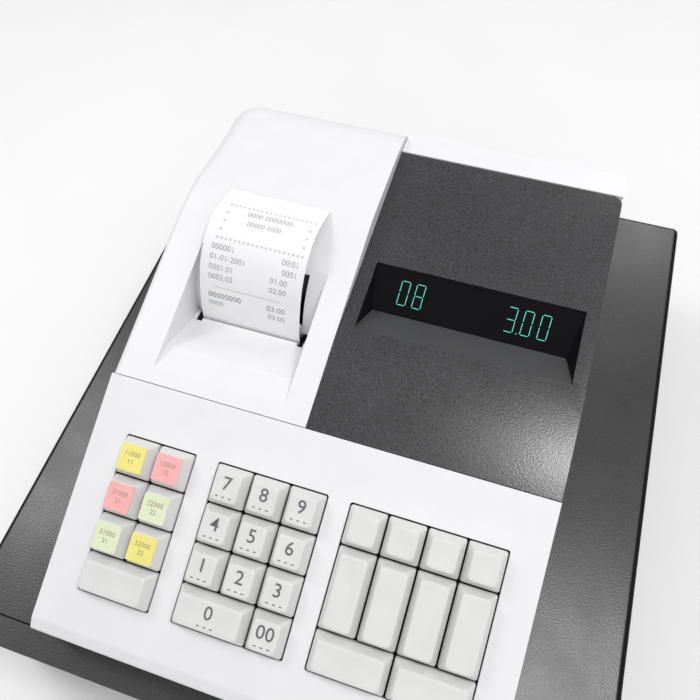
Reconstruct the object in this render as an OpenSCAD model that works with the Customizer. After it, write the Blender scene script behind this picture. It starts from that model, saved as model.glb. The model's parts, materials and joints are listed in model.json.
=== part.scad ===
/* [Cash drawer] */
// Width of the drawer housing
drawer_w = 344; // [320:1:380]
// Depth of the drawer housing, front panel included
drawer_d = 383; // [370:1:400]
// Height of the drawer housing above its feet
drawer_h = 91; // [88:1:100]
// Sheet thickness of the housing
sheet = 1.2; // [1:0.1:1.6]
// Height of the rubber feet
foot_h = 4; // [3:0.5:6]
// Thickness of the moulded drawer front
front_t = 14; // [12:1:18]

/* [Register head] */
// Width of the register head
head_w = 231; // [229:1:235]
// Sideways offset of the head on the drawer housing
head_x = -1.5; // [-4:0.5:4]
// Wall thickness of the head's mouldings
wall = 2.5; // [2:0.1:2.6]
// Slope of the keyboard, in degrees
key_tilt = 20.4; // [19.5:0.1:21]
// Length of the keyboard slope, from its lower edge to the fold
slope_len = 126; // [125:1:127]
// Height of the fold between keyboard and covers, above the housing
fold_z = 75.2; // [74.8:0.1:75.6]

/* [Keys] */
// Distance between the centres of neighbouring keys, sideways
pitch_x = 19.05; // [18.9:0.05:19.1]
// Distance between the centres of neighbouring keys, along the slope
pitch_u = 19.7; // [19.5:0.05:19.8]
// Travel of a key
key_travel = 3; // [2:0.5:3]
// Height of a key's top above the panel
key_rise = 8; // [7:0.5:8]

/* [Hidden] */
// facets of round pieces, and of large ones
$fn = 48;
fine = 96;
// how far a cutter reaches past a face
past = 1;
top = foot_h + drawer_h;
back_y = drawer_d / 2;
front_y = -back_y;
half_w = head_w / 2;

// side outline of the head: y across, z above the housing
fold_y = -54.4;
low_y = fold_y - slope_len * cos(key_tilt);
low_z = fold_z - slope_len * sin(key_tilt);
nose_y = low_y - 5;
kink_y = -13;
kink_z = fold_z + 10.1;
panel_y = 115.7;
panel_z = fold_z + 19.7;
head_y = 131.5;
split_z = 20;
corner_r = 18;

// printer cover
seam_x = -9;
cover_gap = 0.4;
cover_tilt = 12.7;
crest_y = 52;
crest_z = fold_z + (crest_y - fold_y) * tan(cover_tilt);
crown_z = crest_z + 1.6;
tail_r = 15;
hinge_y = head_y - wall / 2;
hinge_z = 76;
knuckle_r = 2.4;
knuckle_w = 14;
knuckle_x = [-82.5, -38.5];
knuckle_gap = 2.6;
pin_r = 1.2;
pin_gap = 0.05;
skirt = 12;

// receipt recess in the printer cover
recess_x = [-95, -23];
recess_y = [-46, 57];
slot_y = [-6.5, 3];
slot_z = 60;
paper_x = [-90.2, -32.7];
slit_x = [paper_x[1] - 4.3, paper_x[1] + 0.2];
slit_y = 26;
slit_z = [66, 91];
lip_y = -31;
lip_z = 75;
paper_t = 0.3;

// printer
platen_y = 4;
platen_z = 47;
platen_r = 6;
shaft_r = 2;
roll_y = 62;
roll_z = 42;
roll_r = 26;
core_r = 6;

// keyboard blocks: left edge, distance of the first row from the fold
left_x = -96.7;
pad_x = -46.3;
right_x = 22.3;
row_u = 27.6;
key_gap = 0.9;
well_gap = 1;
plate_t = 2;
plate_depth = 9;
board_depth = plate_depth + plate_t + key_travel + 5;
stem = 6;
stem_gap = 0.35;

// display
panel_t = 2.8;
glass_x = [-1.5, 108.5];
glass_y = [0.5, 41.5];
sill_y = 20;
sill_z = 76;
cheek = 1.5;
tube_tilt = 24;
tube_t = 6.4;

// fasteners, posts and cable hole inside the head
screw_r = 1.6;
screw_gap = 0.1;
screw_head_r = 2 * screw_r;
screw_head_h = 2;
cable_y = 60;
cable_r = 7;
screw_at = [for (x = [-100, 100], y = [-155, 105]) [x, y]];
post_at = [for (x = [16, 96], y = [-24, 94]) [x, y]];
post_h = 6;
post_r = 4;
board_t = 1.6;

// sockets and vents in the back wall
socket_x = [41, 87];
socket_z = [5.5, 16.5];
jack_x = 50;
jack_z = 11;
jack_r = 4;
square_x = [59, 73];
square_w = 11;
vent_x = 30;
vent_z = [34, 60];
vent_n = 8;
vent_step = 8;
vent_w = 3;

// drawer
tray_x = drawer_w / 2 - sheet - 12;
tray_back = back_y - 40;
tray_z = foot_h + sheet + 5;
tray_h = 62;
till_x = tray_x - sheet - 0.6;
till_y = [front_y + front_t + 1, tray_back - sheet - 0.6];
till_z = tray_z + sheet;
till_h = 52;
till_wall = 2;
till_play = 0.1;
coin_pad = 4;
coin_n = 5;
coin_w = 2 * till_x / coin_n;
coin_y = till_y[1] - 178;
note_n = 4;
note_w = 2 * till_x / note_n;
clip_y = 128;
clip_z = tray_z + 46;
clip_tilt = 25;
clip_len = 84;
pivot_r = 2;
pivot_depth = 1.5;
lock_r = 9;
lock_z = top - 22;
bend_r = 4;
front_gap = 0.5;
foot_r = 10;
rail_z = tray_z + 30;
rail_h = 16;
rail_play = 1.5;
grip_w = 120;
grip_h = 14;
grip_depth = 8;

// keys: name, block's left edge, column, row, columns wide, rows long, label colour
KEYS = [
    ["key_l11", left_x, 0, 0, 1, 1, "gold"], ["key_l12", left_x, 1, 0, 1, 1, "salmon"],
    ["key_l21", left_x, 0, 1, 1, 1, "salmon"], ["key_l22", left_x, 1, 1, 1, 1, "palegreen"],
    ["key_l31", left_x, 0, 2, 1, 1, "palegreen"], ["key_l32", left_x, 1, 2, 1, 1, "gold"],
    ["key_l41", left_x, 0, 3, 2, 1, "gainsboro"],
    ["key_p11", pad_x, 0, 0, 1, 1, "gainsboro"], ["key_p12", pad_x, 1, 0, 1, 1, "gainsboro"],
    ["key_p13", pad_x, 2, 0, 1, 1, "gainsboro"], ["key_p21", pad_x, 0, 1, 1, 1, "gainsboro"],
    ["key_p22", pad_x, 1, 1, 1, 1, "gainsboro"], ["key_p23", pad_x, 2, 1, 1, 1, "gainsboro"],
    ["key_p31", pad_x, 0, 2, 1, 1, "gainsboro"], ["key_p32", pad_x, 1, 2, 1, 1, "gainsboro"],
    ["key_p33", pad_x, 2, 2, 1, 1, "gainsboro"], ["key_p41", pad_x, 0, 3, 2, 1, "gainsboro"],
    ["key_p42", pad_x, 2, 3, 1, 1, "gainsboro"],
    ["key_r11", right_x, 0, 0, 1, 1, "white"], ["key_r12", right_x, 1, 0, 1, 1, "white"],
    ["key_r13", right_x, 2, 0, 1, 1, "white"], ["key_r14", right_x, 3, 0, 1, 1, "white"],
    ["key_r21", right_x, 0, 1, 1, 2, "white"], ["key_r22", right_x, 1, 1, 1, 2, "white"],
    ["key_r23", right_x, 2, 1, 1, 2, "white"], ["key_r24", right_x, 3, 1, 1, 2, "white"],
    ["key_r41", right_x, 0, 3, 2, 1, "white"], ["key_r42", right_x, 2, 3, 2, 1, "white"]];
BLOCKS = [[left_x, 2], [pad_x, 3], [right_x, 4]];

// height of the display panel's surface at y, behind its kink
function glass_z(y) = kink_z + (y - kink_y) * (panel_z - kink_z) / (panel_y - kink_y);

// height of the printer cover's surface at y
function cover_z(y) = y < crest_y ? fold_z + (y - fold_y) * tan(cover_tilt) : crown_z;

// places a child in the head's own axes, on top of the housing
module head() { translate([head_x, 0, top]) children(); }

// places a child on the keyboard slope: x across, y down the slope from the fold, z out of it
module slope() {
    head() translate([0, fold_y, fold_z]) rotate([key_tilt, 0, 0]) mirror([0, 1, 0]) children();
}

// extrudes a side outline (y, z) along x between two places
module span(x0, x1) {
    translate([x0, 0, 0]) rotate([90, 0, 90]) linear_extrude(height = x1 - x0) children();
}

// the head seen from above, g inside its outer face, with its round corner at the back left
module plan(g) {
    r = corner_r - g;
    w = head_w - 2 * g;
    d = head_y - nose_y - 2 * g;
    translate([-half_w + g, nose_y + g]) square([w, d - r]);
    translate([-half_w + g + r, nose_y + g]) square([w - r, d]);
    translate([-half_w + g + r, head_y - g - r]) circle(r, $fn = fine);
}

// a block of that outline between two heights
module plan_block(g, z0, z1) { translate([0, 0, z0]) linear_extrude(height = z1 - z0) plan(g); }

// a rectangle about the middle with round corners
module rounded(size, r) { offset(r) offset(-r) square(size, center = true); }

// a box between two corners
module block(lo, hi) { translate(lo) cube(hi - lo); }

/* ---- cash drawer ---- */
module housing_outline(grow) {
    w = drawer_w / 2 - grow;
    r = bend_r - grow;
    translate([-w, foot_h + grow]) square([2 * w, drawer_h - 2 * grow - r]);
    translate([-w + r, foot_h + grow]) square([2 * (w - r), drawer_h - 2 * grow]);
    for (s = [-1, 1]) translate([s * (w - r), top - grow - r]) circle(r);
}

module drawer_housing() {
    color("dimgray") difference() {
        translate([0, back_y, 0]) rotate([90, 0, 0])
            linear_extrude(height = drawer_d - front_t - front_gap) housing_outline(0);
        translate([0, back_y - sheet, 0]) rotate([90, 0, 0])
            linear_extrude(height = drawer_d) housing_outline(sheet);
        // grommet hole of the latch cable
        translate([head_x, cable_y, top - sheet - past]) cylinder(h = sheet + 2 * past, r = cable_r + 1);
        for (p = screw_at) translate([head_x + p[0], p[1], top - sheet - past])
            cylinder(h = sheet + 2 * past, r = screw_r + screw_gap);
    }
}

module rubber_feet() {
    color("black") for (x = [-1, 1], y = [-1, 1])
        translate([x * (drawer_w / 2 - 25), y * (back_y - 30), 0])
            cylinder(h = foot_h, r1 = foot_r - 1, r2 = foot_r);
}

module drawer_rails() {
    x1 = drawer_w / 2 - sheet;
    z0 = rail_z - rail_h / 2;
    z1 = rail_z + rail_h / 2;
    lip = 3;
    color("silver") for (s = [-1, 1]) scale([s, 1, 1]) difference() {
        block([tray_x + rail_play, front_y + 30, z0], [x1, back_y - 20, z1]);
        block([tray_x, front_y + 20, z0 + lip], [x1 - rail_play, back_y, z1 - lip]);
    }
}

module drawer_latch() {
    floor_z = foot_h + sheet;
    plate = 2;
    y0 = tray_back + 14;
    color("silver") {
        block([-20, tray_back + 8, floor_z], [20, back_y - sheet - 2, floor_z + plate]);
        // solenoid and its bolt
        block([-14, y0, floor_z + plate], [14, back_y - sheet - 4, floor_z + 24]);
        translate([0, y0, floor_z + 13]) rotate([90, 0, 0]) cylinder(h = 12, r = 3);
    }
}

module drawer_tray() {
    y0 = front_y + front_t;
    color("silver") {
        difference() {
            block([-tray_x, y0, tray_z], [tray_x, tray_back, tray_z + tray_h]);
            block([-tray_x + sheet, y0 - past, tray_z + sheet], [tray_x - sheet, tray_back - sheet, top]);
        }
        // runners that ride in the rails
        for (s = [-1, 1]) scale([s, 1, 1])
            block([tray_x, y0 + 40, rail_z - rail_h / 4],
                [drawer_w / 2 - sheet - 2 * rail_play, tray_back - 4, rail_z + rail_h / 4]);
    }
}

module drawer_front() {
    margin = 2;
    face = [drawer_w - margin, drawer_h - 2 * margin];
    color("dimgray") difference() {
        translate([0, front_y + front_t, foot_h + drawer_h / 2]) rotate([90, 0, 0])
            linear_extrude(height = front_t) rounded(face, bend_r - 1);
        // finger grip along the lower edge
        block([-grip_w / 2, front_y - past, foot_h - past],
            [grip_w / 2, front_y + grip_depth, foot_h + grip_h]);
        translate([0, front_y - past, lock_z]) rotate([-90, 0, 0])
            cylinder(h = front_t + 2 * past, r = lock_r + pin_gap);
    }
}

module drawer_lock() {
    color("silver") difference() {
        translate([0, front_y + 0.5, lock_z]) rotate([-90, 0, 0]) {
            cylinder(h = front_t + 2, r = lock_r);
            translate([0, 0, front_t + 1]) cylinder(h = 3, r = lock_r - 3);
        }
        // keyhole
        block([-1, front_y - past, lock_z - 3.5], [1, front_y + 5, lock_z + 3.5]);
    }
}

// the till is built up from a floor, walls and dividers that slot together with a little play
module cash_till() {
    floor_top = till_z + till_wall;
    pad_top = floor_top + coin_pad;
    high = till_z + till_h;
    row = (coin_y - till_y[0]) / 2;
    inner = till_x - till_wall - till_play;
    color("#2b2b2e") difference() {
        union() {
            block([-till_x, till_y[0], till_z], [till_x, till_y[1], floor_top]);
            // side walls
            for (s = [-1, 1]) scale([s, 1, 1])
                block([till_x - till_wall, till_y[0], floor_top + till_play], [till_x, till_y[1], high]);
            // cross walls: front, between the coin rows, behind them, and back
            for (y = [till_y[0], till_y[0] + row, coin_y, till_y[1] - till_wall])
                block([-inner, y, floor_top + till_play], [inner, y + till_wall, high]);
            // dividers between the notes
            for (i = [1:note_n - 1]) translate([-till_x + i * note_w, 0, 0])
                block([-till_wall, coin_y + till_wall + till_play, floor_top + till_play],
                    [till_wall, till_y[1] - till_wall - till_play, high]);
            // raised floors of the coin cups, and the dividers that stand on them
            for (y = [till_y[0], till_y[0] + row]) {
                block([-inner, y + till_wall + till_play, floor_top + till_play],
                    [inner, y + row - till_play, pad_top]);
                for (i = [1:coin_n - 1]) translate([-till_x + i * coin_w, 0, 0])
                    block([-till_wall, y + till_wall + till_play, pad_top + till_play],
                        [till_wall, y + row - till_play, high]);
            }
        }
        // pivot bores of the note clips, in the side walls and the dividers
        for (i = [0:note_n - 1])
            translate([-till_x + i * note_w + till_wall - pivot_depth, clip_y, clip_z]) rotate([0, 90, 0])
                cylinder(h = note_w - 2 * till_wall + 2 * pivot_depth, r = pivot_r + pin_gap);
    }
}

module note_clip(i) {
    w = note_w - 2 * till_wall;
    arm_w = 18;
    arm_t = 3;
    color("#3a3a3d") translate([-till_x + (i + 0.5) * note_w, clip_y, clip_z]) {
        rotate([0, 90, 0]) cylinder(h = w + 2 * pivot_depth - 0.6, r = pivot_r, center = true);
        rotate([0, 90, 0]) cylinder(h = w - 2, r = 2 * pivot_r, center = true);
        rotate([clip_tilt, 0, 0]) {
            block([-arm_w / 2, -clip_len - 2, -arm_t / 2], [arm_w / 2, 0, arm_t / 2]);
            // roller that rests on the notes
            translate([0, -clip_len, -2]) rotate([0, 90, 0])
                cylinder(h = 34, r = 2 * pivot_r, center = true);
        }
    }
}

/* ---- register head: cases ---- */
module base_case() {
    color("whitesmoke") head() difference() {
        union() {
            difference() {
                plan_block(0, 0, split_z - 0.3);
                plan_block(wall, wall, split_z + past);
            }
            for (p = post_at) translate([p[0], p[1], wall - 0.5]) cylinder(h = post_h + 0.5, r = post_r);
        }
        for (p = screw_at) translate([p[0], p[1], -past])
            cylinder(h = wall + 2 * past, r = screw_r + screw_gap);
        // cable hole above the drawer's grommet
        translate([0, cable_y, -past]) cylinder(h = wall + 2 * past, r = cable_r);
        // opening for the sockets in the back wall
        block([socket_x[0] - 1, head_y - wall - past, socket_z[0] - 0.5],
            [socket_x[1] + 1, head_y + past, socket_z[1] + 0.5]);
    }
}

// side outline of the front moulding, or of its hollow when g is the wall thickness
module front_outline(g) {
    over = g > 0 ? 6 : 0;
    rise = over * tan(key_tilt);
    lift = g / cos(key_tilt);
    polygon([[nose_y + g, split_z - over], [nose_y + g, low_z - 4 - g],
        [low_y + g, low_z - lift + g * tan(key_tilt)], [fold_y + over, fold_z - lift + rise],
        [fold_y + over, split_z - over]]);
}

module keyboard_panel() {
    color("whitesmoke") difference() {
        head() difference() {
            span(-half_w, half_w) front_outline(0);
            span(-half_w + wall, half_w - wall) front_outline(wall);
        }
        slope() for (b = BLOCKS)
            block([b[0] - well_gap, row_u - well_gap, -6],
                [b[0] + b[1] * pitch_x + well_gap, row_u + 4 * pitch_u + well_gap, 6]);
    }
}

module rear_case() {
    y0 = fold_y + 0.3;
    back_z = panel_z + 0.6;
    low_back = hinge_z - knuckle_gap;
    ledge = panel_t + 0.2;
    color("whitesmoke") head() {
        difference() {
            intersection() {
                plan_block(0, split_z, back_z);
                union() {
                    // right wall, under the display panel's edge
                    span(half_w - wall, half_w) polygon([[y0, split_z], [y0, fold_z - ledge],
                        [kink_y, kink_z - ledge], [panel_y + 0.3, panel_z - ledge],
                        [head_y, panel_z - ledge], [head_y, split_z]]);
                    // left wall, up to the printer cover's skirt
                    span(-half_w, -half_w + wall) polygon([[y0, split_z], [y0, fold_z - 6],
                        [y0 + 6, fold_z - skirt], [crest_y, crest_z - skirt - 1],
                        [head_y - 22, crest_z - skirt - 5], [head_y - corner_r, low_back],
                        [head_y - 1, low_back], [head_y - 1, split_z]]);
                    // round corner at the back left
                    difference() {
                        block([-half_w, head_y - corner_r, split_z],
                            [-half_w + corner_r, head_y, low_back]);
                        plan_block(wall, 0, back_z);
                    }
                    // back wall, low behind the printer cover and high behind the display
                    block([-half_w + corner_r, head_y - wall, split_z], [half_w, head_y, low_back]);
                    block([seam_x, head_y - wall, split_z], [half_w, head_y, back_z]);
                    // strip behind the display panel
                    block([seam_x, panel_y + 0.3, panel_z - panel_t], [half_w, head_y, back_z]);
                    block([half_w - wall, panel_y + 0.3, split_z], [half_w, head_y, back_z]);
                    // partition between printer bay and display bay
                    span(seam_x + 1, seam_x + 1 + wall) polygon([[y0, split_z], [y0, fold_z - ledge],
                        [kink_y, kink_z - ledge], [panel_y + 0.3, panel_z - ledge],
                        [head_y - 1, panel_z - ledge], [head_y - 1, split_z]]);
                }
            }
            // vent slots in the back wall
            for (i = [0:vent_n - 1]) translate([vent_x + i * vent_step, 0, 0])
                block([0, head_y - wall - past, vent_z[0]], [vent_w, head_y + past, vent_z[1]]);
        }
        // hinge knuckles of the printer cover, with their webs
        for (x = knuckle_x) difference() {
            union() {
                translate([x, hinge_y, hinge_z]) rotate([0, 90, 0])
                    cylinder(h = knuckle_w, r = knuckle_r);
                block([x, head_y - wall, hinge_z - 5], [x + knuckle_w, head_y, hinge_z]);
            }
            translate([x - past, hinge_y, hinge_z]) rotate([0, 90, 0])
                cylinder(h = knuckle_w + 2 * past, r = pin_r + pin_gap);
        }
    }
}

module display_panel() {
    color("#2e2f31") head() {
        difference() {
            span(seam_x, half_w) polygon([[fold_y + 0.3, fold_z], [kink_y, kink_z], [panel_y, panel_z],
                [panel_y, panel_z - panel_t], [kink_y, kink_z - panel_t],
                [fold_y + 0.3, fold_z - panel_t]]);
            block([glass_x[0], glass_y[0], sill_z], [glass_x[1], glass_y[1], panel_z]);
        }
        // sloping sill in front of the window
        span(glass_x[0] - cheek, glass_x[1] + cheek) polygon([[glass_y[0], glass_z(0) - 0.8],
            [sill_y, sill_z], [sill_y, sill_z - 2], [glass_y[0] - 2, glass_z(0) - panel_t + 0.3],
            [glass_y[0] - 2, glass_z(0) - 0.8]]);
        // cheeks at both ends of the opening
        for (x = [glass_x[0] - cheek, glass_x[1]])
            span(x, x + cheek) polygon([[glass_y[0] - 1, glass_z(0) - 1.5], [sill_y, sill_z - 2],
                [glass_y[1] + 1, glass_z(glass_y[1]) - 8], [glass_y[1] + 1, glass_z(glass_y[1]) - 1.5]]);
    }
}

module display_window() {
    color("#101214") head() span(glass_x[0] + 0.1, glass_x[1] - 0.1)
        polygon([[sill_y + 0.2, sill_z - 1.8], [sill_y + 0.2, sill_z + 0.2],
            [glass_y[1] - 0.2, glass_z(glass_y[1]) - 2], [glass_y[1] - 0.2, glass_z(glass_y[1]) - 4]]);
}

module display_module() {
    color("#1c5a45") head() translate([0, sill_y + 3, sill_z - 6]) rotate([tube_tilt, 0, 0])
        translate([0, 0, -tube_t - 1]) {
            block([glass_x[0] + 6, 0, -board_t], [glass_x[1] - 6, 20, 0]);
            block([glass_x[0] + 10, 2, 0], [glass_x[1] - 10, 18, tube_t]);
        }
}

/* ---- printer ---- */
// side outline of the receipt recess: floor, slot and the curved wall behind it
module recess_outline() {
    polygon([[recess_y[0], cover_z(recess_y[0])], [lip_y, lip_z], [slot_y[0], slot_z + 2.5],
        [slot_y[0], slot_z - 20], [slot_y[1], slot_z - 20], [slot_y[1], slot_z + 2],
        [8, 74], [16, 85], [28, 94], [42, 99], [recess_y[1], crown_z + 0.1],
        [recess_y[1], crown_z + 5], [recess_y[0], crown_z + 5]]);
}

// side outline of the moulding around the recess, a wall thickness below it
module lining_outline() {
    polygon([[recess_y[0] - 4, cover_z(recess_y[0] - 4) - 0.5],
        [recess_y[0] + 1, cover_z(recess_y[0]) - 4.6], [lip_y - 0.5, lip_z - 3],
        [slot_y[0] - 1.5, slot_z], [slot_y[0] - 1.5, slot_z - 3],
        [slot_y[1] + 2, slot_z - 3], [slot_y[1] + 2.3, slot_z + 1],
        [10.5, 72], [18, 82], [30, 91], [43, 96], [recess_y[1] + 4, crown_z - 2.6],
        [recess_y[1] + 4, crown_z - 0.2], [crest_y, crest_z - 0.2]]);
}

// outer line of the printer cover from the fold to the hinge, g below its surface
function cover_top(g) = concat([[fold_y + cover_gap + g, fold_z - g], [crest_y, crest_z - g],
    [crest_y + 12, crown_z - g]], [for (a = [90:-10:0]) [head_y - tail_r + (tail_r - g) * cos(a),
    crown_z - tail_r + (tail_r - g) * sin(a)]]);

module printer_cover() {
    x1 = seam_x - cover_gap;
    y0 = fold_y + cover_gap;
    high = crown_z + 5;
    color("white") head() difference() {
        union() {
            difference() {
                intersection() {
                    span(-half_w, x1) polygon(concat(cover_top(0), [[head_y, hinge_z + knuckle_gap],
                        [head_y - corner_r, hinge_z + knuckle_gap], [head_y - 22, crest_z - skirt - 4],
                        [crest_y, crest_z - skirt], [y0 + 6, fold_z - skirt + 1], [y0, fold_z - 5]]));
                    plan_block(0, 0, high);
                }
                intersection() {
                    span(-half_w + wall, x1 - wall) polygon(concat(cover_top(wall), [[head_y - wall, 50],
                        [y0 + wall, 50]]));
                    plan_block(wall, 0, high);
                }
            }
            span(recess_x[0] - wall, recess_x[1] + wall) lining_outline();
            // ears that carry the platen shaft
            for (x = [recess_x[0] - wall, recess_x[1]])
                block([x, platen_y - 6, platen_z - 5], [x + wall, platen_y + 6, slot_z + 4]);
            // knuckles that carry the hinge pins, each with its web
            for (x = knuckle_x, s = [-1, 1]) translate([x + knuckle_w / 2 + s * (knuckle_w + 0.4), 0, 0]) {
                translate([-knuckle_w / 2, hinge_y, hinge_z]) rotate([0, 90, 0])
                    cylinder(h = knuckle_w, r = knuckle_r);
                block([-knuckle_w / 2, head_y - wall, hinge_z], [knuckle_w / 2, head_y, hinge_z + 4]);
                translate([-s * (knuckle_w / 2 + 2) - 2, hinge_y, hinge_z]) rotate([0, 90, 0])
                    cylinder(h = 4, r = pin_r);
            }
        }
        span(recess_x[0], recess_x[1]) recess_outline();
        // slit in the back wall, beside the receipt
        block([slit_x[0], slot_y[1] - past, slit_z[0]], [slit_x[1], slit_y, slit_z[1]]);
        translate([recess_x[0] - 6, platen_y, platen_z]) rotate([0, 90, 0])
            cylinder(h = recess_x[1] - recess_x[0] + 12, r = shaft_r + pin_gap);
    }
}

module printer_frame() {
    x0 = recess_x[0] + 2;
    x1 = recess_x[1] - 2;
    y1 = roll_y - roll_r - 4;
    color("#3b3b3e") head() {
        // cradle of the paper roll
        difference() {
            block([x0, y1, wall], [x1, roll_y + roll_r + 4, roll_z]);
            translate([paper_x[0] - 0.8, roll_y, roll_z]) rotate([0, 90, 0])
                cylinder(h = paper_x[1] - paper_x[0] + 1.6, r = roll_r + 1.5, $fn = fine);
        }
        // bed and front block that hold the print head
        block([x0, -40, wall], [x1, y1 + 1, wall + 4]);
        block([x0, -40, wall], [x1, -14, platen_z - 12]);
    }
}

module print_head() {
    color("silver") head() translate([0, platen_y - platen_r - 1.2, platen_z]) {
        block([paper_x[0], -3, -12], [paper_x[1], 0, 2]);
        block([paper_x[0] + 4, -11, -12], [paper_x[1] - 4, -3, -8]);
    }
}

module tear_bar() {
    n = 28;
    depth = 6;
    tooth = 1.2;
    step = (paper_x[1] - paper_x[0] + 4) / n;
    teeth = [for (i = [0:n - 1], k = [0, 1]) [(i + k / 2) * step, depth + k * tooth]];
    color("silver") head() translate([paper_x[0] - 2, slot_y[0] - depth, slot_z - 4])
        linear_extrude(height = 0.9) polygon(concat([[0, 0]], teeth, [[n * step, depth], [n * step, 0]]));
}

module platen_shaft() {
    color("silver") head() translate([0, platen_y, platen_z]) rotate([0, 90, 0]) {
        translate([0, 0, recess_x[0] - 5])
            cylinder(h = recess_x[1] - recess_x[0] + 10, r = shaft_r);
        // drive gear
        translate([0, 0, recess_x[1] + 3]) linear_extrude(height = 4) difference() {
            union() {
                circle(r = 5);
                for (i = [0:17]) rotate(i * 20) translate([4.6, 0]) square([1.8, 0.9], center = true);
            }
            circle(r = shaft_r - 0.1);
        }
    }
}

module platen_roller() {
    color("#1d1d1f") head() translate([0, platen_y, platen_z]) rotate([0, 90, 0])
        translate([0, 0, paper_x[0] - 1]) difference() {
            cylinder(h = paper_x[1] - paper_x[0] + 2, r = platen_r, $fn = fine);
            translate([0, 0, -past]) cylinder(h = paper_x[1] - paper_x[0] + 4, r = shaft_r);
        }
}

module paper_roll() {
    color("white") head() translate([paper_x[0], roll_y, roll_z]) rotate([0, 90, 0]) difference() {
        cylinder(h = paper_x[1] - paper_x[0], r = roll_r, $fn = fine);
        translate([0, 0, -past]) cylinder(h = paper_x[1] - paper_x[0] + 2 * past, r = core_r);
    }
}

// points of the receipt from the platen up and back over the arch
RECEIPT = [[-2.6, 54], [-2.4, 60], [0.2, 71], [4.5, 82], [10.5, 92.5], [18.5, 100.5], [28, 105.2],
    [37, 106.2], [46, 104.6], [53.5, 101.9], [58.5, 100.2]];

module receipt_paper() {
    n = len(RECEIPT);
    // direction across the sheet at each point
    function across(i) = let (a = RECEIPT[max(i - 1, 0)], b = RECEIPT[min(i + 1, n - 1)], d = b - a)
        [-d[1], d[0]] / norm(d);
    color("white") head() span(paper_x[0], paper_x[1])
        polygon(concat(RECEIPT, [for (i = [n - 1:-1:0]) RECEIPT[i] + paper_t * across(i)]));
}

/* ---- electronics ---- */
module main_board() {
    color("darkgreen") head() translate([0, 0, wall + post_h]) {
        difference() {
            block([10, -30, 0], [102, 100, board_t]);
            for (p = post_at) translate([p[0], p[1], -past]) cylinder(h = board_t + 2 * past, r = screw_r);
        }
        // processor, memory and connector: left front corner, then width, depth, height
        for (c = [[30, 0, 24, 24, 2.4], [64, 40, 12, 24, 3.4], [86, -10, 10, 30, 6.4]])
            translate([c[0], c[1], board_t]) cube([c[2], c[3], c[4]]);
    }
}

module power_supply() {
    color("goldenrod") head() translate([-8, -110, wall]) {
        cube([48, 50, 6]);
        // transformer
        translate([4, 6, 6]) cube([40, 38, 14]);
    }
}

module rear_sockets() {
    color("black") head() difference() {
        block([socket_x[0], head_y - 16, socket_z[0]], [socket_x[1], head_y - 0.4, socket_z[1]]);
        // round power jack and square drawer and data jacks
        translate([jack_x, head_y - 8, jack_z]) rotate([-90, 0, 0]) cylinder(h = 8 + past, r = jack_r);
        for (x = square_x) translate([x, head_y, jack_z])
            block([0, -12, -jack_r], [square_w, past, jack_r]);
    }
    // contact pin of the power jack
    color("silver") head() translate([jack_x, head_y - 8.5, jack_z]) rotate([-90, 0, 0])
        cylinder(h = 6, r = 0.9);
}

module case_screws() {
    length = 5;
    color("silver") head() for (p = screw_at) translate([p[0], p[1], -length]) {
        cylinder(h = wall + length, r = screw_r);
        translate([0, 0, wall + length]) cylinder(h = screw_head_h, r = screw_head_r);
    }
}

/* ---- keyboard ---- */
// middle of a key on the keyboard slope
function key_middle(k) = [k[1] + (k[2] + k[4] / 2) * pitch_x, row_u + (k[3] + k[5] / 2) * pitch_u, 0];

// a plate under all the keys
module key_plate(z, t) {
    margin = 6;
    block([left_x - margin, row_u - margin, z],
        [right_x + 4 * pitch_x + margin, row_u + 4 * pitch_u + margin, z + t]);
}

module key_guide() {
    color("#19191b") slope() difference() {
        key_plate(-plate_depth - plate_t, plate_t);
        for (k = KEYS) translate([0, 0, -plate_depth - plate_t - past] + key_middle(k))
            linear_extrude(height = plate_t + 2 * past) square(stem + 2 * stem_gap, center = true);
    }
}

module keyboard_board() {
    color("darkgreen") slope() key_plate(-board_depth - board_t, board_t);
}

module key(k) {
    w = k[4] * pitch_x - key_gap;
    d = k[5] * pitch_u - key_gap;
    taper = 2.6;
    color(k[6]) slope() translate(key_middle(k)) {
        hull() {
            translate([0, 0, -1.5]) cube([w, d, 1], center = true);
            translate([0, 0, key_rise - 0.5]) cube([w - 2 * taper, d - 2 * taper, 1], center = true);
        }
        block([-stem / 2, -stem / 2, -plate_depth - plate_t - 1], [stem / 2, stem / 2, -1.5]);
    }
}

drawer_housing();
rubber_feet();
drawer_rails();
drawer_latch();
drawer_tray();
drawer_front();
drawer_lock();
cash_till();
for (i = [0:note_n - 1]) note_clip(i);
base_case();
keyboard_panel();
rear_case();
display_panel();
display_window();
display_module();
printer_frame();
print_head();
tear_bar();
printer_cover();
platen_shaft();
platen_roller();
paper_roll();
receipt_paper();
main_board();
keyboard_board();
key_guide();
power_supply();
rear_sockets();
case_screws();
for (k = KEYS) key(k);
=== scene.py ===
"""The looks of the cash register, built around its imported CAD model."""
import json
import math

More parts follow.
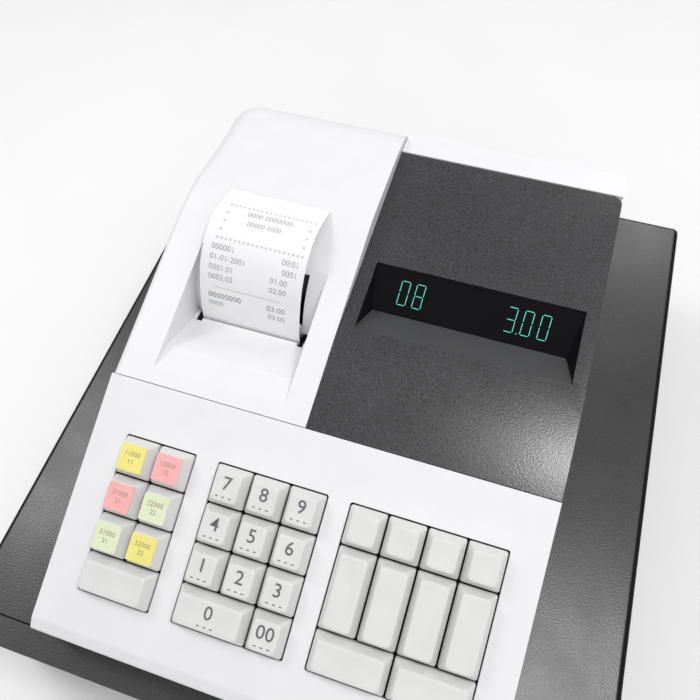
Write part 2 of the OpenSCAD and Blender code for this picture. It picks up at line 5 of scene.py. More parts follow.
import bmesh
import bpy
from mathutils import Euler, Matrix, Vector

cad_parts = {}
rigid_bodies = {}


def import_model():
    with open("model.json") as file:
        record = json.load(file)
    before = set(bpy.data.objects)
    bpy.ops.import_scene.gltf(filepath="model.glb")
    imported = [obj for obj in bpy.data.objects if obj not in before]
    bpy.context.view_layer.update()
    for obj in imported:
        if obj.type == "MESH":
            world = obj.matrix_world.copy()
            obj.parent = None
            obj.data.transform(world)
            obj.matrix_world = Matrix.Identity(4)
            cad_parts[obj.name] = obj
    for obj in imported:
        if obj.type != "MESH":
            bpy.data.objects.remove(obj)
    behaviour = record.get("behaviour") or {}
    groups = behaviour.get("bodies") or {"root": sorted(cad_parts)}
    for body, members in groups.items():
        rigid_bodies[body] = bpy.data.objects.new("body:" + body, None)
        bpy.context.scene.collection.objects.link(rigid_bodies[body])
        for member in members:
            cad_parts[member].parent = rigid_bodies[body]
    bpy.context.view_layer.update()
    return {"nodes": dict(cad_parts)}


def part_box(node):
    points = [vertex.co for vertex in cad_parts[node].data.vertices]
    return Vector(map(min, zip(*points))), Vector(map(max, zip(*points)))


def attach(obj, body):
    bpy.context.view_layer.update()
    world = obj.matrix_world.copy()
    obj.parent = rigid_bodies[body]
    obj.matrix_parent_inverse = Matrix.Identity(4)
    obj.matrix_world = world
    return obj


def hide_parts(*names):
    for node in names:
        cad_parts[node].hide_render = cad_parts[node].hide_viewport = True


for leftover in list(bpy.data.objects):
    bpy.data.objects.remove(leftover, do_unlink=True)
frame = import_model()

# ---- places: millimetres in the head's own axes, its origin on top of the drawer housing ----
MM = 0.001
CASE_LOW, CASE_HIGH = [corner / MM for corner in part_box("base_case")]
HEAD_X = (CASE_LOW.x + CASE_HIGH.x) / 2
TOP = CASE_LOW.z
HALF_W = (CASE_HIGH.x - CASE_LOW.x) / 2
NOSE_Y, HEAD_Y = CASE_LOW.y, CASE_HIGH.y
WALL = 2.5

# side outline of the head
TILT = math.radians(20.4)
SLOPE_LEN = 126
FOLD_Y, FOLD_Z = -54.4, 75.2
LOW_Y = FOLD_Y - SLOPE_LEN * math.cos(TILT)
LOW_Z = FOLD_Z - SLOPE_LEN * math.sin(TILT)
KINK_Y, KINK_Z = -13, 85.3
PANEL_Y, PANEL_Z = 115.7, 94.9
SPLIT_Z = 20
CORNER_R = 18
EDGE_R = 4

# printer cover and its recess
SEAM_X = -9
GAP = 0.4
RISE = math.tan(math.radians(12.7))
CROWN_Z = 100.78
CROWN_R = 65
CREST_Y = 35
TAIL_R = 15
RECESS_X = (-95, -23)
RECESS_Y = (-46, 57)
SLOT_X = (-93, -30)
PAPER_LIP = -3.7
SLOT_Y = (-6.5, 3)
SLOT_Z = 60
SLIT_Z = (66, 91)
PAPER_X = (-90.2, -32.7)
PAPER_T = 0.15
PLATEN_Y, PLATEN_Z = 4, 47
BORE_R = 2.15  # bores of the ears, for the platen's shaft of 2 mm radius
EAR_SIZE = (6, 5, 4)  # each way along y, below the platen's axis, and above the slot
HINGE_Y, HINGE_Z = HEAD_Y - WALL / 2, 76
KNUCKLE_R = 2.4
KNUCKLE_W = 14
KNUCKLE_X = (-82.5, -38.5)
KNUCKLE_PLAY = 0.4
LINING_Y, LINING_Z = 2.2, 2.6  # thickness of the recess's back wall, back and up
CREASE = (-31, 75)  # where the recess's floor turns down into the slot

# display
PANEL_T = 2.8
GLASS_X = (-1.5, 108.5)
GLASS_Y = (0.5, 41.5)
SILL_Y, SILL_Z = 20, 76
BEZEL_R = 5

# keys
WELL_GAP = 0.75
LABEL_INSET = 2.4
DISH_EDGE, DISH_REACH, DISH_DEPTH, DISH_CURVE = 3.4, 3.1, 0.35, 1.3


def place(x, y, z):
    """A point of the head's own axes, in the frame."""
    return Vector((x + HEAD_X, y, z + TOP)) * MM


def on_slope(x, down, out):
    """A point of the keyboard slope, in the head's own axes: down it from the fold, and out of it."""
    return Vector((x, FOLD_Y - down * math.cos(TILT) - out * math.sin(TILT),
                   FOLD_Z - down * math.sin(TILT) + out * math.cos(TILT)))


def glass_z(y):
    """Height of the display panel's surface behind its kink."""
    return KINK_Z + (y - KINK_Y) * (PANEL_Z - KINK_Z) / (PANEL_Y - KINK_Y)


def cover_z(y):
    """Height of the printer cover's surface: a slope that a wide curve blends into a flat crown."""
    slope = FOLD_Z + (y - FOLD_Y) * RISE
    meet = FOLD_Y + (CROWN_Z - FOLD_Z) / RISE
    reach = CROWN_R * math.tan(math.atan(RISE) / 2)
    if y < meet - reach:
        return slope
    if y > meet + reach:
        return CROWN_Z
    return CROWN_Z - CROWN_R + math.sqrt(CROWN_R ** 2 - (meet + reach - y) ** 2)


# ---- mesh tools ----
SHARP_ANGLE = math.radians(17)
BEVEL_ANGLE = math.radians(35)
MERGE_DISTANCE = 1e-6


def new_object(name, points, faces, finish):
    """A mesh object from points of the frame in metres, smooth except at its sharp edges."""
    mesh = bpy.data.meshes.new(name)
    mesh.from_pydata([tuple(p) for p in points], [], faces)
    mesh.materials.append(finish)
    made = bpy.data.objects.new(name, mesh)
    bpy.context.collection.objects.link(made)
    tidy_mesh(mesh)
    return made


def tidy_mesh(mesh):
    """Joins doubled points and turns every face outwards."""
    work = bmesh.new()
    work.from_mesh(mesh)
    bmesh.ops.remove_doubles(work, verts=work.verts, dist=MERGE_DISTANCE)
    bmesh.ops.recalc_face_normals(work, faces=work.faces)
    work.to_mesh(mesh)
    work.free()
    mesh.shade_smooth()
    mesh.set_sharp_from_angle(angle=SHARP_ANGLE)


def loft(name, rings, finish):
    """A closed solid through rings of equally many points, with both ends filled."""
    n = len(rings[0])
    faces = [tuple(range(n))[::-1], tuple(range((len(rings) - 1) * n, len(rings) * n))]
    for k in range(len(rings) - 1):
        for i in range(n):
            a, b = k * n + i, k * n + (i + 1) % n
            faces.append((a, b, b + n, a + n))
    return new_object(name, [place(*p) for ring in rings for p in ring], faces, finish)


def prism(name, outline, low, high, finish, axis="X"):
    """A solid with that outline, (y, z), (x, z) or (x, y), between two places on the other axis."""
    def turn(a, b, c):
        return {"X": (c, a, b), "Y": (a, c, b), "Z": (a, b, c)}[axis]
    return loft(name, [[turn(a, b, c) for a, b in outline] for c in (low, high)], finish)


def block(name, low, high, finish):
    """A box between two corners."""
    outline = [(low[0], low[1]), (high[0], low[1]), (high[0], high[1]), (low[0], high[1])]
    return prism(name, outline, low[2], high[2], finish, "Z")


def bake(made):
    """Turns an object's modifiers into its mesh."""
    mesh = bpy.data.meshes.new_from_object(made.evaluated_get(bpy.context.evaluated_depsgraph_get()))
    made.modifiers.clear()
    made.data = mesh
    return made


def combine(made, tools, operation):
    """Adds, cuts or crosses an object with tools, which are used up."""
    for tool in tools:
        step = made.modifiers.new("combine", "BOOLEAN")
        step.operation = operation
        step.solver = "EXACT"
        step.object = tool
        bake(made)
        bpy.data.objects.remove(tool, do_unlink=True)
    tidy_mesh(made.data)
    return made


def soften(made, width, steps=3):
    """Rounds an object's sharp edges."""
    step = made.modifiers.new("edges", "BEVEL")
    step.width = width * MM
    step.segments = steps
    step.limit_method = "ANGLE"
    step.angle_limit = BEVEL_ANGLE
    step.harden_normals = False
    step.use_clamp_overlap = True
    made.modifiers.new("shading", "WEIGHTED_NORMAL").keep_sharp = True
    return made


def arc(cx, cy, rx, ry, start, end, steps):
    """Points of an elliptic arc between two angles in degrees."""
    turns = [math.radians(start + (end - start) * k / steps) for k in range(steps + 1)]
    return [(cx + rx * math.cos(t), cy + ry * math.sin(t)) for t in turns]


def disc(cx, cy, radius):
    """Outline of a circle."""
    points = 24
    return arc(cx, cy, radius, radius, 0, 360 - 360 / points, points - 1)


def fillet(corners, steps=7):
    """The outline through corners (a, b, radius), rounded to each one's radius."""
    outline = []
    for i, (a, b, radius) in enumerate(corners):
        corner = Vector((a, b))
        if not radius:
            outline.append((a, b))
            continue
        back = (Vector(corners[i - 1][:2]) - corner).normalized()
        ahead = (Vector(corners[(i + 1) % len(corners)][:2]) - corner).normalized()
        half = back.angle(ahead) / 2
        centre = corner + (back + ahead).normalized() * radius / math.sin(half)
        start = corner + back * radius / math.tan(half) - centre
        end = corner + ahead * radius / math.tan(half) - centre
        first = math.atan2(start.y, start.x)
        turn = (math.atan2(end.y, end.x) - first + math.pi) % (2 * math.pi) - math.pi
        for k in range(steps + 1):
            t = first + turn * k / steps
            outline.append((centre.x + radius * math.cos(t), centre.y + radius * math.sin(t)))
    return outline


def rounded_box(w, d, radius, steps=6, cx=0, cy=0):
    """Outline of a rectangle with round corners about a centre."""
    corners = [(cx + sx * w / 2, cy + sy * d / 2, radius)
               for sx, sy in ((-1, -1), (1, -1), (1, 1), (-1, 1))]
    return fillet(corners, steps)


# ---- materials ----
def finish(name, colour, roughness, metallic=0.0, grain=0.4, relief=0.05, mottle=0.04, uneven=0.04,
           coat=0.0, speck=0.0, gloss=0.5):
    """A surface with fine grain, uneven colour and uneven gloss; lengths are in millimetres."""
    made = bpy.data.materials.new(name)
    made.use_nodes = True
    nodes, links = made.node_tree.nodes, made.node_tree.links
    shader = nodes["Principled BSDF"]
    shader.inputs["Metallic"].default_value = metallic
    shader.inputs["Coat Weight"].default_value = coat
    shader.inputs["Specular IOR Level"].default_value = gloss
    where = nodes.new("ShaderNodeTexCoord")

    def noise(size, detail):
        made_noise = nodes.new("ShaderNodeTexNoise")
        made_noise.inputs["Scale"].default_value = 1 / (size * MM)
        made_noise.inputs["Detail"].default_value = detail
        links.new(where.outputs["Object"], made_noise.inputs["Vector"])
        return made_noise.outputs["Fac"]

    def spread(value, low, high):
        steps = nodes.new("ShaderNodeMapRange")
        steps.clamp = False
        steps.inputs["From Min"].default_value = 0.3
        steps.inputs["From Max"].default_value = 0.7
        steps.inputs["To Min"].default_value = low
        steps.inputs["To Max"].default_value = high
        links.new(value, steps.inputs["Value"])
        return steps.outputs["Result"]

    fine, wide = noise(grain, 2.0), noise(grain * 40, 4.0)
    links.new(spread(wide, roughness - uneven, roughness + uneven), shader.inputs["Roughness"])
    blend = nodes.new("ShaderNodeMix")
    blend.data_type = "RGBA"
    blend.inputs["A"].default_value = [c * (1 - mottle) for c in colour] + [1]
    blend.inputs["B"].default_value = [min(1, c * (1 + mottle)) for c in colour] + [1]
    links.new(spread(wide, 0, 1), blend.inputs["Factor"])
    base = blend.outputs["Result"]
    if speck:
        dots = nodes.new("ShaderNodeMix")
        dots.data_type = "RGBA"
        dots.blend_type = "MULTIPLY"
        dots.inputs["Factor"].default_value = 1
        links.new(base, dots.inputs["A"])
        links.new(spread(fine, 1 - speck, 1 + speck), dots.inputs["B"])
        base = dots.outputs["Result"]
    links.new(base, shader.inputs["Base Color"])
    bump = nodes.new("ShaderNodeBump")
    bump.inputs["Strength"].default_value = 1
    bump.inputs["Distance"].default_value = relief * MM
    links.new(fine, bump.inputs["Height"])
    links.new(bump.outputs["Normal"], shader.inputs["Normal"])
    return made


def glow(name, colour, strength):
    """A lit display segment, a little uneven along its length."""
    made = finish(name, colour, 0.5)
    shader = made.node_tree.nodes["Principled BSDF"]
    shader.inputs["Emission Color"].default_value = (*colour, 1)
    shader.inputs["Emission Strength"].default_value = strength
    return made


WHITE = finish("white_case", (0.81, 0.81, 0.825), 0.42, grain=0.35, relief=0.02, mottle=0.012)
CHARCOAL = finish("charcoal_panel", (0.026, 0.026, 0.029), 0.28, grain=0.9, relief=0.06, speck=0.9,
                  gloss=0.8)
SILL = finish("sill_plastic", (0.055, 0.055, 0.058), 0.5, grain=0.5, relief=0.03)
POWDER = finish("powder_coat", (0.024, 0.024, 0.025), 0.32, grain=1.0, relief=0.08, speck=0.5, gloss=0.7)
BLACK = finish("black_plastic", (0.02, 0.02, 0.022), 0.5, grain=0.3, relief=0.03)
CLIP = finish("clip_plastic", (0.05, 0.05, 0.055), 0.38, grain=0.3, relief=0.02)
ZINC = finish("zinc_sheet", (0.62, 0.63, 0.64), 0.33, metallic=1, grain=1.2, relief=0.01, mottle=0.08)
CHROME = finish("chrome", (0.82, 0.82, 0.83), 0.12, metallic=1, grain=0.4, relief=0.003, uneven=0.04)
RUBBER = finish("rubber", (0.028, 0.028, 0.03), 0.75, grain=0.5, relief=0.05)
PAPER = finish("till_paper", (0.88, 0.88, 0.9), 0.62, grain=0.25, relief=0.015, mottle=0.015)
BOARD = finish("solder_mask", (0.01, 0.12, 0.055), 0.3, grain=1.5, relief=0.02, mottle=0.2, coat=0.3)
GLASS = finish("smoked_window", (0.004, 0.004, 0.006), 0.1, grain=0.6, relief=0.002, uneven=0.03,
               gloss=0.12)
# near-black finish that paints shade: on the housing's rounded rim, the slot's ends and the display's
# cheeks
PAINTED_SHADE = finish("painted_shade_dark", (0.007, 0.007, 0.008), 0.55, grain=0.5, relief=0.03, gloss=0.1)
KEYCAP = finish("key_plastic", (0.72, 0.72, 0.705), 0.36, grain=0.3, relief=0.015, mottle=0.02)
YELLOW = finish("label_yellow", (0.86, 0.78, 0.22), 0.4, relief=0.01, mottle=0.03)
PINK = finish("label_pink", (0.93, 0.44, 0.44), 0.4, relief=0.01, mottle=0.03)
GREEN = finish("label_green", (0.74, 0.80, 0.57), 0.4, relief=0.01, mottle=0.03)
INK = finish("key_ink", (0.13, 0.13, 0.14), 0.5, relief=0.01)
LABEL_INK = finish("label_ink", (0.35, 0.28, 0.2), 0.5, relief=0.01)
PRINT = finish("thermal_print", (0.34, 0.34, 0.37), 0.6, relief=0.01, mottle=0.2)
LIT = glow("display_lit", (0.06, 0.55, 0.42), 0.8)


# ---- pieces ----
def ready(made, body, slot, *nodes):
    """Puts a finished piece on its body and hides the CAD nodes that it stands for; its record slot is not
    used.
    """
    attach(made, body)
    if nodes:
        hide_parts(*nodes)
    return made


def drawer_housing():
    """The drawer's folded sheet housing with round edges, open at the front, its rounded top rim painted
    near-black as shade.
    """
    low, high = [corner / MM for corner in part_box("drawer_housing")]
    sheet, radius, least_radius, bend_steps = 1.2, 4, 0.8, 6
    width, height = high.x - low.x, high.z - low.z

    def ring(y, inset):
        turn = radius - min(inset, radius - least_radius)
        outline = rounded_box(width - 2 * inset, height - 2 * inset, turn, 7, 0, (low.z + high.z) / 2)
        return [(a - HEAD_X, y, b - TOP) for a, b in outline]

    rings = [ring(low.y, 0)]
    for k in range(bend_steps + 1):
        t = math.radians(90 / bend_steps * k)
        rings.append(ring(high.y - radius + radius * math.sin(t), radius * (1 - math.cos(t))))
    shell = loft("housing_shell", rings, POWDER)
    hollow = loft("hollow", [ring(low.y - 5, sheet), ring(high.y - sheet, sheet)], POWDER)
    combine(shell, [hollow], "DIFFERENCE")
    # the rounded rim along the top's edges takes the near-black finish: painted shade
    shell.data.materials.append(PAINTED_SHADE)
    for face in shell.data.polygons:
        middle = face.center / MM
        shaded_rim = max(abs(middle.x) - high.x, middle.y - high.y) > -radius * 0.8
        face.material_index = int(shaded_rim and high.z - radius < middle.z < high.z - 0.02)
    return ready(soften(shell, 0.5), "register", "painted_steel", "drawer_housing")


def cover_block(name, g, skirt_z):
    """The printer cover's outer form, or its hollow when g is the wall thickness."""
    left, right = -HALF_W + g, SEAM_X - GAP - g
    front, back = FOLD_Y + GAP + g, HEAD_Y - g
    turn_r = CORNER_R - g
    side_steps, turn_steps, steps = 24, 10, 7
    path = [(left, front + (back - turn_r - front) * k / side_steps, 0) for k in range(side_steps)]
    path += [(left + turn_r * (1 - math.cos(t)), back - turn_r * (1 - math.sin(t)), t)
             for t in [math.radians(90 * k / turn_steps) for k in range(turn_steps + 1)]]
    path.append((right, back, math.pi / 2))
    columns = []
    for x, y, t in path:
        grown = min(max((y - CREST_Y) / (back - turn_r - CREST_Y), 0), 1)
        radius = EDGE_R + (TAIL_R - EDGE_R) * grown ** 2 * (3 - 2 * grown) - min(g, EDGE_R - 1)
        column = [(x, y, skirt_z(y))]
        for k in range(steps + 1):
            a = math.radians(90 * k / steps)
            inset, drop = radius * (1 - math.cos(a)), radius * (1 - math.sin(a))
            py = y - math.sin(t) * inset
            column.append((x + math.cos(t) * inset, py, cover_z(py) - g - drop))
        columns.append(column)
    points = [p for column in columns for p in column]
    n = steps + 2
    faces = []
    for j in range(len(columns) - 1):
        for k in range(n - 1):
            a = j * n + k
            faces.append((a, a + n, a + n + 1, a + 1))
    ends = []
    for column in columns[:-1]:
        ends.append((len(points), len(points) + 1))
        points += [(right, column[0][1], column[0][2]), (right, column[-1][1], column[-1][2])]
    for j in range(len(ends) - 1):
        a, b = j * n, (j + 1) * n
        faces.append((a + n - 1, b + n - 1, ends[j + 1][1], ends[j][1]))
        faces.append((a, ends[j][0], ends[j + 1][0], b))
    faces.append(list(range(n)) + [ends[0][1], ends[0][0]])
    tail = (len(columns) - 1) * n
    faces.append([e[0] for e in ends] + [tail + k for k in range(n)] + [e[1] for e in ends][::-1])
    return new_object(name, [place(*p) for p in points], faces, WHITE)


def recess_arch(back, up):
    """Back wall of the recess or of its lining: a quarter ellipse from the slot up to the crown."""
    return arc(RECESS_Y[1], SLOT_Z, RECESS_Y[1] - SLOT_Y[1] - back, CROWN_Z - SLOT_Z - up, 180, 90, 14)


def knuckles():
    """The cover's half of its two hinges: a knuckle with its web on both sides of each of the case's."""
    made = []
    for middle in [x + KNUCKLE_W / 2 for x in KNUCKLE_X]:
        for side in (-1, 1):
            x = middle + side * (KNUCKLE_W + KNUCKLE_PLAY)
            x0, x1 = x - KNUCKLE_W / 2, x + KNUCKLE_W / 2
            made.append(prism("barrel", disc(HINGE_Y, HINGE_Z, KNUCKLE_R), x0, x1, WHITE))
            made.append(block("web", (x0, HEAD_Y - WALL, HINGE_Z), (x1, HEAD_Y - 0.02, HINGE_Z + 4), WHITE))
    return made


def slot_shade_frame():
    """The black frame inside the slot, through which the paper leaves, and near-black plugs at the slot's
    ends: dark pieces that paint the shade deep inside the slot.
    """
    x0, x1 = SLOT_X[0] - 1, SLOT_X[1] + 1
    y0, y1 = SLOT_Y[0] - 0.5, SLOT_Y[1] + 0.5
    # black frame that paints the shade inside the slot around the paper
    made = block("slot_shade_frame", (x0, y0, SLOT_Z - 6), (x1, y1, SLOT_Z - 3.2), BLACK)
    hole = block("hole", (PAPER_X[0] - 0.5, PAPER_LIP, SLOT_Z - 9), (PAPER_X[1] + 0.5, 1, SLOT_Z + 9),
                 BLACK)
    combine(made, [hole], "DIFFERENCE")
    ready(made, "printer_cover", "till_plastic")
    spans = ((SLOT_X[0] + 0.05, PAPER_X[0] - 0.3), (PAPER_X[1] + 0.3, SLOT_X[1] - 0.05))
    for side, (a, b) in enumerate(spans):
        low, high = (a, SLOT_Y[0] + 0.55, SLOT_Z - 3.3), (b, y1 - 0.55, SLOT_Z + 1)
        # near-black plug that paints the shade at the slot's end
        plug = block(f"slot_end_shade_{side + 1}", low, high, PAINTED_SHADE)
        ready(plug, "printer_cover", "till_plastic")


def printer_cover():
    """The hinged cover with the receipt recess, its slot, the platen's ears and the hinge knuckles."""
    def skirt_z(y):
        knots = [(FOLD_Y + GAP, FOLD_Z - 5), (FOLD_Y + GAP + 6, FOLD_Z - 11), (52, CROWN_Z - 13.6),
                 (HEAD_Y - 22, CROWN_Z - 17.6), (HEAD_Y - CORNER_R, HINGE_Z + 2.6), (HEAD_Y, HINGE_Z + 2.6)]
        for (y0, z0), (y1, z1) in zip(knots, knots[1:]):
            if y <= y1:
                return z0 + (z1 - z0) * max(0, y - y0) / (y1 - y0)
        return knots[-1][1]

    shell = cover_block("cover_shell", 0, skirt_z)
    combine(shell, [cover_block("hollow", WALL, lambda y: 40)], "DIFFERENCE")
    x0, x1 = RECESS_X
    floor_y, back_y = RECESS_Y
    lining = [(floor_y - 5, cover_z(floor_y - 5) - 0.4), (floor_y, cover_z(floor_y) - 4.2),
              (CREASE[0] - 0.8, CREASE[1] - 2.6), (SLOT_Y[0] - 1.6, SLOT_Z), (SLOT_Y[0] - 1.6, SLOT_Z - 3),
              (SLOT_Y[1] + LINING_Y, SLOT_Z - 3)]
    lining += recess_arch(LINING_Y, LINING_Z)
    lining += [(back_y + 4, CROWN_Z - LINING_Z), (back_y + 4, CROWN_Z - 0.6), (45, cover_z(45) - 0.6)]
    lining = prism("lining", lining, x0 - WALL, x1 + WALL, WHITE)
    well = [(floor_y, cover_z(floor_y)), CREASE, (SLOT_Y[0], SLOT_Z + 2.5)] + recess_arch(0, 0)
    well = prism("well", well + [(back_y, 130), (floor_y, 130)], x0, x1, WHITE)
    # the slot's ends reach further forward than its middle, where the paper's lip is
    spans = ((SLOT_X[0], PAPER_X[0] + 0.6, SLOT_Y[0] + 0.5), (PAPER_X[0], PAPER_X[1], PAPER_LIP),
             (PAPER_X[1] - 0.6, SLOT_X[1], SLOT_Y[0] + 0.5))
    slot = [block("slot", (a, y, SLOT_Z - 20), (b, SLOT_Y[1], SLOT_Z + 9), WHITE) for a, b, y in spans]
    reach, below, above = EAR_SIZE
    ears = [block("ear", (x, PLATEN_Y - reach, PLATEN_Z - below),
                  (x + WALL, PLATEN_Y + reach, SLOT_Z + above), WHITE) for x in (x0 - WALL, x1)]
    slit = block("slit", (PAPER_X[1] - 4.3, SLOT_Y[1] - 1, SLIT_Z[0]), (PAPER_X[1] + 0.2, 26, SLIT_Z[1]),
                 WHITE)
    bore = prism("bore", disc(PLATEN_Y, PLATEN_Z, BORE_R), x0 - WALL - 1, x1 + WALL + 1, WHITE)
    combine(shell, [lining] + ears + knuckles(), "UNION")
    combine(shell, [well, slit, bore] + slot, "DIFFERENCE")
    return ready(soften(shell, 0.7), "printer_cover", "case_plastic", "printer_cover")


def keyboard_panel(wells):
    """The sloping front moulding with a well for each block of keys."""
    def outline(g):
        over = 6 if g else 0
        lift = g / math.cos(TILT)
        return [(NOSE_Y + g, SPLIT_Z - over, 0), (NOSE_Y + g, LOW_Z - 4 - g, 0 if g else 3),
                (LOW_Y + g, LOW_Z - lift + g * math.tan(TILT), 0 if g else 6),
                (FOLD_Y + over, FOLD_Z - lift + over * math.tan(TILT), 0),
                (FOLD_Y + over, SPLIT_Z - over, 0)]

    shell = prism("front_shell", fillet(outline(0)), -HALF_W, HALF_W, WHITE)
    tools = [prism("hollow", fillet(outline(WALL)), -HALF_W + WALL, HALF_W - WALL, WHITE)]
    for x0, x1, d0, d1 in wells:
        ring = rounded_box(x1 - x0, d1 - d0, 1.2, 6, (x0 + x1) / 2, (d0 + d1) / 2)
        tools.append(loft("opening", [[on_slope(x, d, out) for x, d in ring] for out in (-6, 6)], WHITE))
    combine(shell, tools, "DIFFERENCE")
    return ready(soften(shell, 0.7), "register", "case_plastic", "keyboard_panel")


def display_panel():
    """The dark panel with the sunk opening of the display, its sloping sill and its cheeks."""
    outline = [(FOLD_Y + 0.3, FOLD_Z), (KINK_Y, KINK_Z), (PANEL_Y, PANEL_Z), (PANEL_Y, PANEL_Z - PANEL_T),
               (KINK_Y, KINK_Z - PANEL_T), (FOLD_Y + 0.3, FOLD_Z - PANEL_T)]
    shell = prism("display_bezel", outline, SEAM_X, HALF_W, CHARCOAL)
    plan = fillet([(SEAM_X - 1, FOLD_Y, 0), (HALF_W, FOLD_Y, 0), (HALF_W, PANEL_Y, BEZEL_R),
                   (SEAM_X - 1, PANEL_Y, 0)])
    combine(shell, [prism("plan", plan, 40, 120, CHARCOAL, "Z")], "INTERSECT")
    hole = block("hole", (GLASS_X[0], GLASS_Y[0], 60), (GLASS_X[1], GLASS_Y[1], 110), CHARCOAL)
    combine(shell, [hole], "DIFFERENCE")
    soften(shell, 0.5)
    brow = glass_z(0)
    sill = prism("display_sill", [(GLASS_Y[0], brow - 0.8), (SILL_Y, SILL_Z), (SILL_Y, SILL_Z - 2),
                                  (GLASS_Y[0] - 2, brow - PANEL_T + 0.3), (GLASS_Y[0] - 2, brow - 0.8)],
                 GLASS_X[0] - 1.5, GLASS_X[1] + 1.5, SILL)
    ready(sill, "register", "charcoal_plastic")
    y0, y1 = GLASS_Y
    # the recess's cheeks take the near-black finish rather than the panel's charcoal: painted shade
    for side, x in ((-1, GLASS_X[0]), (1, GLASS_X[1])):
        edge = x + side * 0.8
        foot = x - side * 3.8
        points = [(edge, y0 - 1, brow - 0.9), (edge, y1 + 0.8, glass_z(y1) - 0.6),
                  (edge, y1 + 0.8, glass_z(y1) - 6), (foot, SILL_Y + 0.6, SILL_Z),
                  (foot, SILL_Y - 0.6, SILL_Z - 1.2), (edge, SILL_Y, SILL_Z - 2)]
        faces = [(0, 1, 3), (1, 2, 3), (0, 3, 4), (0, 4, 5), (3, 2, 5), (3, 5, 4), (0, 5, 2), (0, 2, 1)]
        cheek = new_object(f"display_cheek_{(side + 3) // 2}", [place(*p) for p in points], faces, PAINTED_SHADE)
        ready(cheek, "register", "charcoal_plastic")
    return ready(shell, "register", "charcoal_plastic", "display_panel")


# strokes of a display character in a cell one wide and two high
STROKES = {"a": ((0, 2), (1, 2)), "b": ((1, 2), (1, 1)), "c": ((1, 1), (1, 0)), "d": ((0, 0), (1, 0)),
           "e": ((0, 0), (0, 1)), "f": ((0, 1), (0, 2)), "g": ((0, 1), (1, 1)), ".": ((0, 0), (0.01, 0))}
SHAPES = {"0": "abcdef", "3": "abcdg", "8": "abcdefg", ".": "."}


def display_text(characters):
    """Lit segments that lie on the window: (character, place across)."""
    low, high = Vector((0, 20.2, 76.2)), Vector((0, 41.3, 87.4))
    along = (high - low).normalized()
    out = Vector((1, 0, 0)).cross(along)
    base, width, height, lean, pen, inset = 5.7, 4.6, 6.4, 0.03, 0.32, 0.4
    points, faces = [], []
    for character, x in characters:
        for stroke in SHAPES[character]:
            ends = []
            for a, b in STROKES[stroke]:
                ends.append(Vector((x + a * width + b * height * lean, base + b * height)))
            line = (ends[1] - ends[0]).normalized()
            ends = [ends[0] + line * inset, ends[1] - line * inset]
            if character == ".":
                ends = [Vector((x, base)), Vector((x + 0.6, base))]
            side = Vector((-line.y, line.x)) * pen / 2
            corners = [ends[0] + side, ends[0] - side, ends[1] - side, ends[1] + side]
            start = len(points)
            for lift in (0.03, 0.12):
                points += [place(*(low + Vector((p.x, 0, 0)) + along * p.y + out * lift)) for p in corners]
            faces.append((start, start + 1, start + 2, start + 3))
            faces.append((start + 7, start + 6, start + 5, start + 4))
            for i in range(4):
                after = (i + 1) % 4
                faces.append((start + i, start + 4 + i, start + 4 + after, start + after))
    return ready(new_object("display_segments", points, faces, LIT), "register", "window")


def lettering(name, text, size, spot, ink, thickness=0.06, align="CENTER", heavy=0.0):
    """Raised print: flat text whose points a function puts on a surface."""
    curve = bpy.data.curves.new(name, "FONT")
    curve.body = text
    curve.size = size
    curve.align_x = align
    curve.align_y = "CENTER"
    curve.resolution_u = 3
    curve.offset = heavy
    curve.extrude = thickness / 2
    source = bpy.data.objects.new(name, curve)
    bpy.context.collection.objects.link(source)
    mesh = bpy.data.meshes.new_from_object(source.evaluated_get(bpy.context.evaluated_depsgraph_get()))
    bpy.data.objects.remove(source, do_unlink=True)
    for v in mesh.vertices:
        v.co = place(*spot(v.co.x, v.co.y, v.co.z))
    mesh.materials.clear()
    mesh.materials.append(ink)
    made = bpy.data.objects.new(name, mesh)
    bpy.context.collection.objects.link(made)
    return made


# ---- keys ----
LABELS = {"l11": YELLOW, "l12": PINK, "l21": PINK, "l22": GREEN, "l31": GREEN, "l32": YELLOW}
LABEL_SLOTS = {YELLOW: "key_yellow", PINK: "key_red", GREEN: "key_green"}
LEGENDS = {"p11": "7", "p12": "8", "p13": "9", "p21": "4", "p22": "5", "p23": "6", "p31": "1", "p32": "2",
           "p33": "3", "p41": "0", "p42": "00"}


def key_cell(node):
    """Where a key stands on the slope: centre across, centre down, width, length and height."""
    across, down, out = [], [], []
    for v in frame["nodes"][node].data.vertices:
        p = v.co / MM - Vector((HEAD_X, FOLD_Y, FOLD_Z + TOP))
        across.append(p.x)
        down.append(-p.y * math.cos(TILT) - p.z * math.sin(TILT))
        out.append(-p.y * math.sin(TILT) + p.z * math.cos(TILT))
    return ((min(across) + max(across)) / 2, (min(down) + max(down)) / 2,
            max(across) - min(across), max(down) - min(down), max(out))


